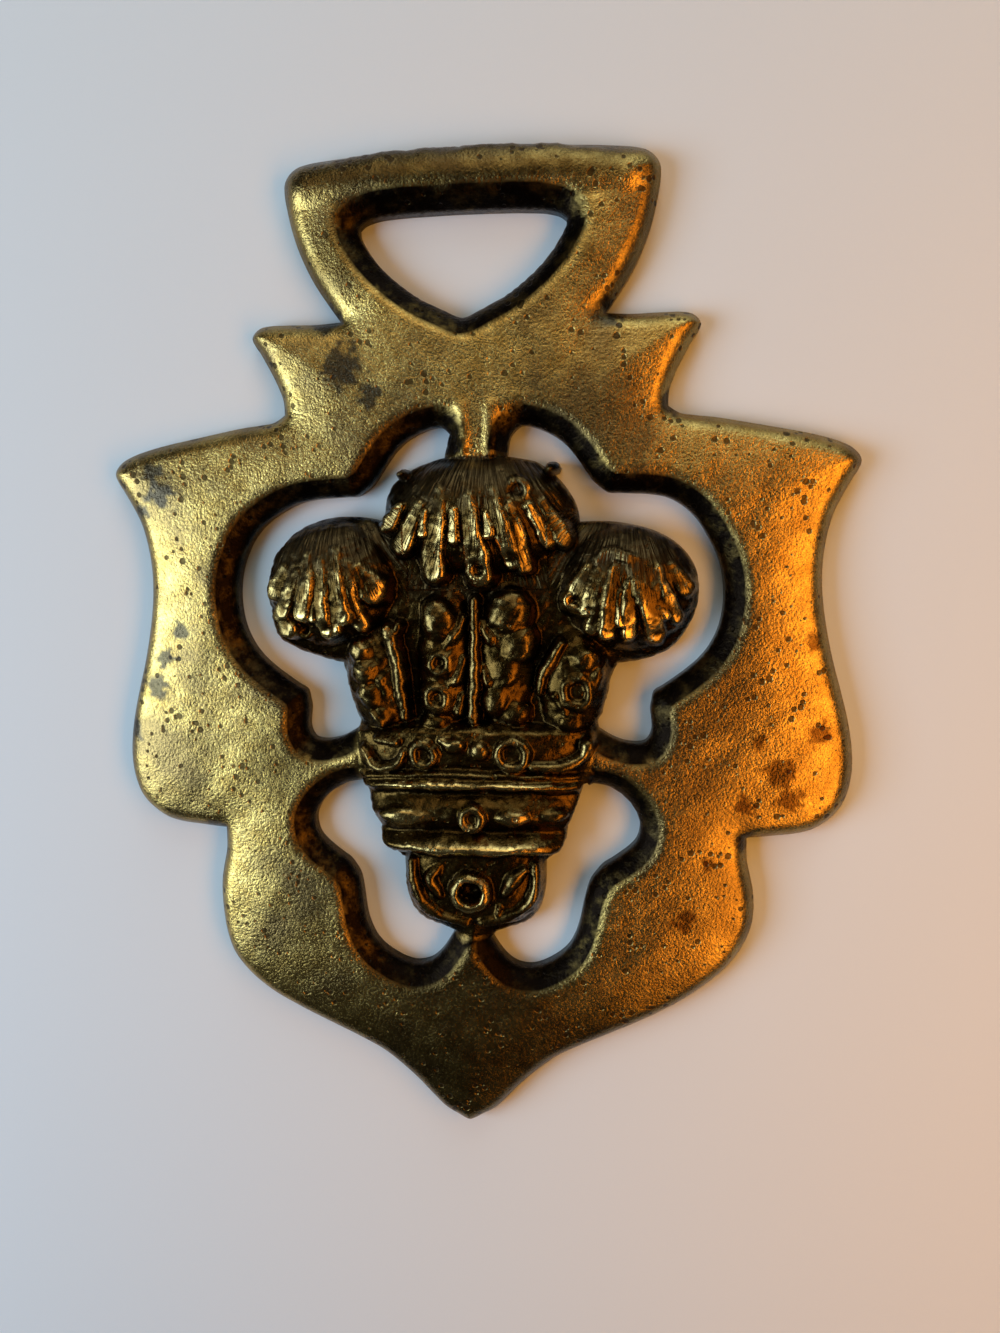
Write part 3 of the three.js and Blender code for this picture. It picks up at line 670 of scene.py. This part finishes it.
def wear(flat, faces, height, loops):
    """Where the casting is worn, soiled and stained, and where shade and highlights are painted, as a
    share at each point of the face.
    """
    to_outer, to_holes = Distance(loops[:1])(flat), Distance(loops[1:])(flat)
    p = flat - PATTERN
    badge = badge_share(p)
    cloth = handled(p)
    proud = height - spread(height, faces, 14)
    # painted shade on the tail and between the piercings' feet, where the face is darker towards the
    # bottom, and a darker strap bar
    tail = 0.85 * smoothstep(-25, -37, p[:, 1])
    foot = 0.7 * smoothstep(13, 6, np.hypot(p[:, 0], 1.3 * (p[:, 1] + 29)))
    bar = 0.85 * smoothstep(2.2, 1.2, np.abs(p[:, 1] - 43.2)) * smoothstep(17, 12, np.abs(p[:, 0]))
    patches = [share * patched(p, [(x, y, radius)], 1.3, 0.5) for x, y, radius, share in DULL_PATCHES]
    ragged = 0.7 * ripple(p, 1.6, 21)
    reach = 1.1 + 0.8 * smoothstep(5, 15, p[:, 0])  # the outer edge's tarnish is broader on the right
    return {
        "grey_stain": patched(p, GREY_STAINS, 1.1, 0.8, ragged),
        "red_stain": patched(p, RED_STAINS, 1.1, 0.8, ragged),
        # painted shade on the tail and between the piercings' feet; the strap bar darker, and tarnish on
        # the strap loop's arm and inside the hip
        "painted_shade_and_tarnish": np.maximum.reduce([tail, foot, bar, *patches]) * (1 - badge),
        "badge": badge,
        # worn bright crests, with painted highlights on the ridges of the coronet and the boss
        "crest": smoothstep(0.03, 0.2, proud) * smoothstep(4.2, 5.6, height) * cloth,
        "handled": cloth,
        "curls": badge * smoothstep(6, 8, p[:, 1]),
        "hollow": smoothstep(-0.08, -0.42, proud),
        # painted shade on the piercings' walls and rolled edges
        "hole_edge": smoothstep(1.95, 1.5, to_holes + 0.15 * ripple(p, 2.5, 22)) * (1 - badge),
        "outer_edge": smoothstep(reach, 0.3, to_outer + 0.2 * ripple(p, 2, 24)),
    }


def build_casting():
    """The whole casting as one closed mesh, with its wear, painted shade and painted highlights as
    attributes for the material.
    """
    loops = back_loops(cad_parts[NODE])
    flat, faces, height, back_flat, back_faces, lengths = casting_mesh(loops)
    count, rim_count = len(flat), sum(lengths)
    top = np.column_stack([flat, height])
    bottom = np.column_stack([back_flat, np.full(len(back_flat), LOW[2])])
    walls = []
    first = 0
    for length in lengths:
        for i in range(length):
            a, b = first + i, first + (i + 1) % length
            walls.append((count + a, count + b, b))
            walls.append((count + a, b, a))
        first += length
    mesh = bpy.data.meshes.new("horse_brass_casting")
    vertices = np.concatenate([top, bottom]) * MM
    triangles = np.concatenate([faces, np.array(walls), back_faces[:, ::-1] + count])
    mesh.from_pydata(vertices.tolist(), [], triangles.tolist())

    for name, values in wear(flat, faces, height, loops).items():
        layer = mesh.attributes.new(name, "FLOAT", "POINT")
        # the back's rim has the wear and painted shade of the face's rim over it, and the back has none
        full = np.concatenate([values, values[:rim_count], np.zeros(len(bottom) - rim_count)])
        layer.data.foreach_set("value", full)
    lines = np.zeros((len(vertices), 3))
    lines[:count] = combing(flat - PATTERN)
    mesh.attributes.new("combing", "FLOAT_VECTOR", "POINT").data.foreach_set("vector", lines.ravel())
    mesh.validate()
    mesh.polygons.foreach_set("use_smooth", np.ones(len(mesh.polygons), bool))
    casting = bpy.data.objects.new("horse_brass_casting", mesh)
    bpy.context.scene.collection.objects.link(casting)
    return casting


# ------------------------------------------------------------------ materials

def linear(hex_colour):
    """An sRGB hex colour as linear RGBA."""
    parts = [int(hex_colour[i:i + 2], 16) / 255 for i in (1, 3, 5)]
    return (*[c / 12.92 if c <= 0.04045 else ((c + 0.055) / 1.055) ** 2.4 for c in parts], 1.0)


def add_node(tree, kind, result, inputs=None, **settings):
    """Adds a node, sets its properties, fills its inputs with values or other nodes' outputs, and
    returns the output named result."""
    node = tree.nodes.new(kind)
    for name, value in settings.items():
        setattr(node, name, value)
    for key, value in (inputs or {}).items():
        if isinstance(value, bpy.types.NodeSocket):
            tree.links.new(value, node.inputs[key])
        else:
            node.inputs[key].default_value = value
    return node.outputs[result]


def aged_brass():
    """Sand-cast brass, hand-polished long ago: a worn gold face with fine grain and pits, and
    glossy brown-black patina where the cloth never reached, with painted shade on the piercings' edges,
    the tail and between the piercings' feet, and painted highlights on the ridges of the coronet and the
    boss."""
    material = bpy.data.materials.new("aged_cast_brass")
    material.use_nodes = True
    tree = material.node_tree
    shader = tree.nodes["Principled BSDF"]
    place = add_node(tree, "ShaderNodeTexCoord", "Object")
    field = {name: add_node(tree, "ShaderNodeAttribute", "Fac", attribute_name=name)
             for name in ("badge", "crest", "handled", "curls", "hollow", "hole_edge", "outer_edge",
                          "grey_stain", "red_stain", "painted_shade_and_tarnish")}

    # noises of the casting, as name: size in mm, detail, roughness
    noises = {"grain": (0.28, 3.0, 0.65), "dust": (0.18, 2.0, 0.55), "mottle": (1.6, 5.0, 0.65),
              "pitting": (3.0, 2.0, 0.55), "cloud": (7.0, 5.0, 0.55)}
    noise = {name: add_node(tree, "ShaderNodeTexNoise", "Fac", {
        "Vector": place, "Scale": 1 / (size * MM), "Detail": detail, "Roughness": roughness,
    }) for name, (size, detail, roughness) in noises.items()}
    lines = add_node(tree, "ShaderNodeAttribute", "Vector", attribute_name="combing")
    noise["combed"] = add_node(tree, "ShaderNodeTexNoise", "Fac", {
        "Vector": lines, "Scale": 2.4, "Detail": 2.0})

    # what each noise does, as name: noise, the range it is read over, the values it gives
    ranges = {"shine": ("mottle", 0.3, 0.7, 0.0, 1.0), "clouds": ("cloud", 0.42, 0.66, 0.0, 1.0),
              "worn": ("mottle", 0.3, 0.65, 0.4, 1.0), "film": ("mottle", 0.2, 0.7, 1.0, 0.8),
              "ragged": ("mottle", 0.25, 0.55, 0.85, 1.0), "pit_size": ("pitting", 0.38, 0.66, 0.0, 0.31),
              "roughness": ("grain", 0.3, 0.7, 0.18, 0.3),
              "lines": ("combed", 0.42, 0.62, 0.0, 1.0)}
    reading = {name: add_node(tree, "ShaderNodeMapRange", "Result", {
        "Value": noise[source], "From Min": low, "From Max": high, "To Min": start, "To Max": end,
    }, interpolation_type="SMOOTHSTEP") for name, (source, low, high, start, end) in ranges.items()}

    cells = add_node(tree, "ShaderNodeTexVoronoi", "Distance", {
        "Vector": place, "Scale": 1 / (0.9 * MM)})
    beyond = add_node(tree, "ShaderNodeMath", "Value", {0: cells, 1: reading["pit_size"]},
                      operation="SUBTRACT")
    pits = add_node(tree, "ShaderNodeMapRange", "Result", {
        "Value": beyond, "From Min": -0.02, "From Max": 0.06, "To Min": 1.0, "To Max": 0.0,
    }, interpolation_type="SMOOTHSTEP")

    # products and other sums of the fields above, each as name: operation, first, second
    made = {"pits": pits, **field, **noise, **reading}
    sums = {
        "pit_dirt": ("MULTIPLY", "pits", 0.8),
        "grey": ("MULTIPLY", "grey_stain", 0.85),
        "red": ("MULTIPLY", "red_stain", 0.75),
        # painted shade on the tail and between the piercings' feet, with tarnish in the patches
        "painted_shade_and_tarnish_film": ("MULTIPLY", "painted_shade_and_tarnish", "film"),
        "outer": ("MULTIPLY", "outer_edge", 0.6),
        # the piercings' edges carry painted shade, the outer edge tarnish
        "either_edge": ("MAXIMUM", "hole_edge", "outer"),
        "edge": ("MULTIPLY", "either_edge", "ragged"),
        "rubbed_and_painted_highlight": ("MULTIPLY", "crest", "worn"),
        "grime": ("MULTIPLY", "hollow", 0.8),
        "unhandled": ("SUBTRACT", 1.0, "handled"),
        "matt_curls": ("MULTIPLY", "curls", "unhandled"),
        # rougher on the pits and on the edges that carry painted shade
        "pits_and_shaded_edges": ("MAXIMUM", "edge", "pits"),
        "pits_and_shaded_edges_rough": ("MULTIPLY", "pits_and_shaded_edges", 0.12),
        "badge_rough": ("MULTIPLY", "badge", 0.03),
        "curl_rough": ("MULTIPLY", "matt_curls", 0.12),
        # painted sheen along the combed lines on the curls
        "painted_comb_sheen": ("MULTIPLY", "matt_curls", "lines"),
        "polish": ("MULTIPLY", "rubbed_and_painted_highlight", 0.07),
        "roughened_at_pits_and_shaded_edges": ("ADD", "roughness", "pits_and_shaded_edges_rough"),
        "waxed": ("ADD", "roughened_at_pits_and_shaded_edges", "badge_rough"),
        "polished": ("SUBTRACT", "waxed", "polish"),
        "rough": ("ADD", "polished", "curl_rough"),
        "dust_height": ("MULTIPLY", "dust", 0.4),
        "comb_depth": ("MULTIPLY", "curls", 2.8),
        "comb_height": ("MULTIPLY", "combed", "comb_depth"),
        "sand_cast": ("ADD", "grain", "dust_height"),
        "filled": ("MULTIPLY", "badge", 0.5),
        "open": ("SUBTRACT", 1.0, "filled"),
        "sanded": ("MULTIPLY", "sand_cast", "open"),
        "pitted": ("SUBTRACT", "sanded", "pits"),
        "height": ("ADD", "pitted", "comb_height"),
    }
    for name, (operation, first, second) in sums.items():
        inputs = {0: made.get(first, first), 1: made.get(second, second)}
        made[name] = add_node(tree, "ShaderNodeMath", "Value", inputs, operation=operation)

    # layers of colour, each laid over the one before by its share
    # The last two frame layers hold painted shade: one on the tail and between the piercings' feet (with
    # tarnish in the patches), the near-black one on the piercings' walls and rolled edges (with tarnish
    # along the outer edge).
    frame_layers = [("shine", "#dec270"), ("clouds", "#967f4c"), ("pit_dirt", "#2a1d10"),
                    ("grey", "#393833"), ("red", "#4a2512"), ("painted_shade_and_tarnish_film", "#3b2d18"), ("edge", "#130e09")]
    # The third badge layer is painted sheen along the combed lines; the last is worn bright crests, with
    # painted highlights on the ridges of the coronet and the boss.
    badge_layers = [("shine", "#57431f"), ("matt_curls", "#3a2f1c"), ("painted_comb_sheen", "#5a4c30"),
                    ("grime", "#150f09"), ("rubbed_and_painted_highlight", "#ebcf80")]
    finishes = []
    for ground, layers in (("#bb9b50", frame_layers), ("#37290f", badge_layers)):
        colour = linear(ground)
        for share, tint in layers:
            colour = add_node(tree, "ShaderNodeMix", "Result", {
                "Factor": made[share], "A": colour, "B": linear(tint)}, data_type="RGBA")
        finishes.append(colour)
    colour = add_node(tree, "ShaderNodeMix", "Result", {
        "Factor": made["badge"], "A": finishes[0], "B": finishes[1]}, data_type="RGBA")
    bump = add_node(tree, "ShaderNodeBump", "Normal", {
        "Height": made["height"], "Strength": 0.6, "Distance": 0.11 * MM})
    tree.links.new(colour, shader.inputs["Base Color"])
    tree.links.new(made["rough"], shader.inputs["Roughness"])
    tree.links.new(bump, shader.inputs["Normal"])
    shader.inputs["Metallic"].default_value = 1.0
    return material


def pale_paper():
    """Matt pale paper under the brass."""
    material = bpy.data.materials.new("pale_paper")
    material.use_nodes = True
    tree = material.node_tree
    shader = tree.nodes["Principled BSDF"]
    place = add_node(tree, "ShaderNodeTexCoord", "Object")
    fibre = add_node(tree, "ShaderNodeTexNoise", "Fac", {
        "Vector": place, "Scale": 1 / (0.8 * MM), "Detail": 4.0})
    bump = add_node(tree, "ShaderNodeBump", "Normal", {
        "Height": fibre, "Strength": 0.1, "Distance": 0.05 * MM})
    tree.links.new(bump, shader.inputs["Normal"])
    shader.inputs["Base Color"].default_value = linear("#dcebed")
    shader.inputs["Roughness"].default_value = 0.85
    return material


# ------------------------------------------------------------------ floor, light and camera

def build_floor():
    """A sheet of paper just under the brass."""
    mesh = bpy.data.meshes.new("floor")
    half = 0.6
    z = LOW[2] * MM - 0.0001
    corners = [(-half, -half, z), (half, -half, z), (half, half, z), (-half, half, z)]
    mesh.from_pydata(corners, [], [(0, 1, 2, 3)])
    floor = bpy.data.objects.new("floor", mesh)
    bpy.context.scene.collection.objects.link(floor)
    mesh.materials.append(pale_paper())
    return floor


def add_softbox(name, azimuth, elevation, distance, width, depth, power, colour):
    """A soft light aimed at the brass; azimuth 0 is +X, angles in degrees, sizes in metres."""
    light = bpy.data.lights.new(name, "AREA")
    light.shape = "RECTANGLE"
    light.size = width
    light.size_y = depth
    light.energy = power
    light.color = linear(colour)[:3]
    lamp = bpy.data.objects.new(name, light)
    a, e = math.radians(azimuth), math.radians(elevation)
    way = Vector((math.cos(a) * math.cos(e), math.sin(a) * math.cos(e), math.sin(e)))
    lamp.location = way * distance
    lamp.rotation_euler = way.to_track_quat("Z", "Y").to_euler()
    bpy.context.scene.collection.objects.link(lamp)
    return lamp


CAMERA_PLACE = np.array([11.54, 12.93, 86.91])  # from the badge's zero, held over the brass
CAMERA_TILT = (-8.2, 6.026, -0.712)  # about X, Y and Z in degrees
CAMERA_LENS = 26.0


def build_camera():
    """Looks down on the brass from just over its middle."""
    camera = bpy.data.objects.new("camera", bpy.data.cameras.new("camera"))
    camera.data.lens = CAMERA_LENS
    camera.data.clip_start = 0.005
    tilt_x, tilt_y, tilt_z = (math.radians(v) for v in CAMERA_TILT)
    turn = Matrix.Rotation(tilt_z, 4, "Z") @ Matrix.Rotation(tilt_y, 4, "Y")
    turn = turn @ Matrix.Rotation(tilt_x, 4, "X")
    place = CAMERA_PLACE + np.array([*PATTERN, LOW[2]])
    camera.matrix_world = Matrix.Translation(Vector(place * MM)) @ turn
    bpy.context.scene.collection.objects.link(camera)
    bpy.context.scene.camera = camera


# Each softbox is azimuth, elevation, distance, width, depth, power in watts and colour.
SOFTBOXES = {
    "window_side": (186, 37, 0.30, 0.18, 0.18, 0.72, "#d0e4fe"),
    "window_top": (80, 22, 0.36, 0.20, 0.20, 0.3, "#e6eef4"),
    "ceiling": (95, 50, 0.30, 0.16, 0.16, 0.1, "#fee9cf"),
    "lamp_side": (-13, 46, 0.15, 0.20, 0.055, 0.155, "#ffa540"),
}
WORLD = 0.05  # strength of the even light from all round


def build_light():
    """Two windows, the ceiling that they light, and a warm lamp near the right side."""
    for name, setting in SOFTBOXES.items():
        add_softbox(name, *setting)
    world = bpy.data.worlds.new("studio")
    world.use_nodes = True
    world.node_tree.nodes["Background"].inputs["Color"].default_value = linear("#d9d9d6")
    world.node_tree.nodes["Background"].inputs["Strength"].default_value = WORLD
    bpy.context.scene.world = world


build_camera()
build_light()
floor = build_floor()

casting = build_casting()
casting.data.materials.append(aged_brass())
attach(casting, "root")
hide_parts(NODE)

bpy.context.scene.view_settings.view_transform = "Standard"
